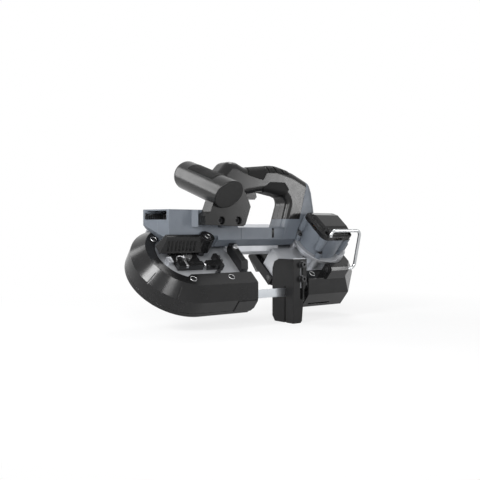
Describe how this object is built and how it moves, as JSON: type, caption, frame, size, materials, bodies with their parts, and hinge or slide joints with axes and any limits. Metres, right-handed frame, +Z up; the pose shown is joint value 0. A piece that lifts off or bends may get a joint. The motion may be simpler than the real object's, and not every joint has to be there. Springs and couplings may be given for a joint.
{
  "type": "portable band saw",
  "caption": "Handheld band saw with a tilted wheel frame, an upright blade across its throat, a sliding work stop, a D-handle with trigger and a front handle.",
  "frame": {"origin": "middle of the blade's cutting line, half way between the wheels", "axes": "+X along the blade from the front wheel to the drive wheel, +Y from the operator's front to the back, +Z up to the handles"},
  "size_m": [0.385, 0.1513, 0.2388],
  "materials": {
    "silver": "cast aluminium, satin",
    "black": "moulded plastic, fine grain",
    "grey": "moulded plastic, fine grain",
    "handle_black": "moulded plastic, fine grain",
    "grip": "soft grip, ribbed",
    "coated_steel": "black coated sheet steel",
    "blade_steel": "ground band steel",
    "steel": "turned steel",
    "black_screw": "black oxide",
    "wheel": "cast aluminium",
    "tyre_rubber": "moulded rubber",
    "chrome_wire": "chromed wire",
    "copper": "laminations with copper windings",
    "board": "circuit board",
    "terminal": "moulded plastic",
    "lens": "clear lens"
  },
  "bodies": {
    "frame": {"main_frame": "silver", "gearbox_housing": "silver", "spring_seat": "silver", "front_wheel_guard": "black", "rear_wheel_guard": "black", "throat_bar": "black", "rear_guide_arm": "black", "hook_block": "black", "front_handle_bracket": "black", "motor_end_cap": "black", "switch_module": "black", "front_guide_block": "black", "rear_guide_block": "black", "body_front_shell": "grey", "body_back_shell": "grey", "motor_housing": "grey", "handle_front_shell": "handle_black", "handle_back_shell": "handle_black", "front_handle": "handle_black", "grip_pads": "grip", "front_handle_pad": "grip", "blade": "blade_steel", "lever_pivot": "steel", "shaft_bearings": "steel", "guide_pins": "steel", "trigger_pin": "steel", "tension_spring": "steel", "guard_screws": "black_screw", "motor_screws": "black_screw", "stop_screws": "black_screw", "body_screws": "black_screw", "bracket_screws": "black_screw", "stator": "copper", "control_board": "board", "terminal_block": "terminal", "led_lamp": "lens"},
    "drive": {"drive_wheel": "wheel", "drive_tyre": "tyre_rubber", "drive_shaft": "steel", "output_gear": "steel"},
    "layshaft": {"layshaft": "steel", "layshaft_gear": "steel"},
    "rotor": {"rotor": "steel", "motor_pinion": "steel"},
    "carriage": {"tension_carriage": "silver", "idler_axle": "steel"},
    "front_wheel": {"front_wheel": "wheel", "front_tyre": "tyre_rubber", "idler_bearing": "steel"},
    "lever": {"tension_lever": "black"},
    "stop": {"work_stop": "coated_steel"},
    "hook": {"hang_hook": "chrome_wire"},
    "trigger": {"trigger": "black"},
    "front_side_roller_a": {"front_side_roller_a": "steel"},
    "front_side_roller_b": {"front_side_roller_b": "steel"},
    "front_back_roller": {"front_back_roller": "steel"},
    "rear_side_roller_a": {"rear_side_roller_a": "steel"},
    "rear_side_roller_b": {"rear_side_roller_b": "steel"},
    "rear_back_roller": {"rear_back_roller": "steel"}
  },
  "joints": [
    {"name": "drive_spin", "type": "hinge", "parent": "frame", "child": "drive", "pos_m": [0.1175, 0.0445, 0.03734], "axis": [0, -0.6428, 0.766], "continuous": true},
    {"name": "layshaft_spin", "type": "hinge", "parent": "frame", "child": "layshaft", "pos_m": [0.1445, 0.0445, 0.03734], "axis": [0, -0.6428, 0.766], "continuous": true},
    {"name": "rotor_spin", "type": "hinge", "parent": "frame", "child": "rotor", "pos_m": [0.1175, 0.0445, 0.03734], "axis": [0, -0.6428, 0.766], "continuous": true},
    {"name": "lever_swing", "type": "hinge", "parent": "frame", "child": "lever", "pos_m": [-0.0893, 0.03266, 0.06592], "axis": [0, -0.6428, 0.766], "range_deg": [0, 90]},
    {"name": "carriage_slide", "type": "slide", "parent": "frame", "child": "carriage", "axis": [1, 0, 0], "range_m": [0, 0.005], "deforming": ["tension_spring"]},
    {"name": "front_wheel_spin", "type": "hinge", "parent": "carriage", "child": "front_wheel", "pos_m": [-0.1175, 0.0445, 0.03734], "axis": [0, -0.6428, 0.766], "continuous": true},
    {"name": "stop_slide", "type": "slide", "parent": "frame", "child": "stop", "axis": [0, 0, 1], "range_m": [0, 0.028]},
    {"name": "hook_swing", "type": "hinge", "parent": "frame", "child": "hook", "pos_m": [0.1, -0.02222, 0.03253], "axis": [1, 0, 0], "range_deg": [0, 100]},
    {"name": "trigger_squeeze", "type": "hinge", "parent": "frame", "child": "trigger", "pos_m": [-0.013, 0.046, 0.149], "axis": [0, -1, 0], "range_deg": [0, 10], "stiffness_Nm_per_rad": 0.3, "springref_deg": -11.46},
    {"name": "front_side_roller_a_spin", "type": "hinge", "parent": "frame", "child": "front_side_roller_a", "pos_m": [-0.0375, -0.00485, 0], "axis": [0, 0, 1], "continuous": true},
    {"name": "front_side_roller_b_spin", "type": "hinge", "parent": "frame", "child": "front_side_roller_b", "pos_m": [-0.0375, 0.00485, 0], "axis": [0, 0, 1], "continuous": true},
    {"name": "front_back_roller_spin", "type": "hinge", "parent": "frame", "child": "front_back_roller", "pos_m": [-0.0375, 0, 0.0109], "axis": [0, 1, 0], "continuous": true},
    {"name": "rear_side_roller_a_spin", "type": "hinge", "parent": "frame", "child": "rear_side_roller_a", "pos_m": [0.05, -0.00485, 0], "axis": [0, 0, 1], "continuous": true},
    {"name": "rear_side_roller_b_spin", "type": "hinge", "parent": "frame", "child": "rear_side_roller_b", "pos_m": [0.05, 0.00485, 0], "axis": [0, 0, 1], "continuous": true},
    {"name": "rear_back_roller_spin", "type": "hinge", "parent": "frame", "child": "rear_back_roller", "pos_m": [0.05, 0, 0.0109], "axis": [0, 1, 0], "continuous": true}
  ],
  "couplings": [
    {"joint": "layshaft_spin", "follows": "drive_spin", "ratio": -5},
    {"joint": "rotor_spin", "follows": "drive_spin", "ratio": 25},
    {"joint": "front_wheel_spin", "follows": "drive_spin", "ratio": 1},
    {"joint": "carriage_slide", "follows": "lever_swing", "m_per_rad": 0.0031831},
    {"joint": "front_side_roller_a_spin", "follows": "drive_spin", "ratio": -12.909},
    {"joint": "front_side_roller_b_spin", "follows": "drive_spin", "ratio": 12.909},
    {"joint": "front_back_roller_spin", "follows": "drive_spin", "ratio": -12.909},
    {"joint": "rear_side_roller_a_spin", "follows": "drive_spin", "ratio": -12.909},
    {"joint": "rear_side_roller_b_spin", "follows": "drive_spin", "ratio": 12.909},
    {"joint": "rear_back_roller_spin", "follows": "drive_spin", "ratio": -12.909}
  ]
}
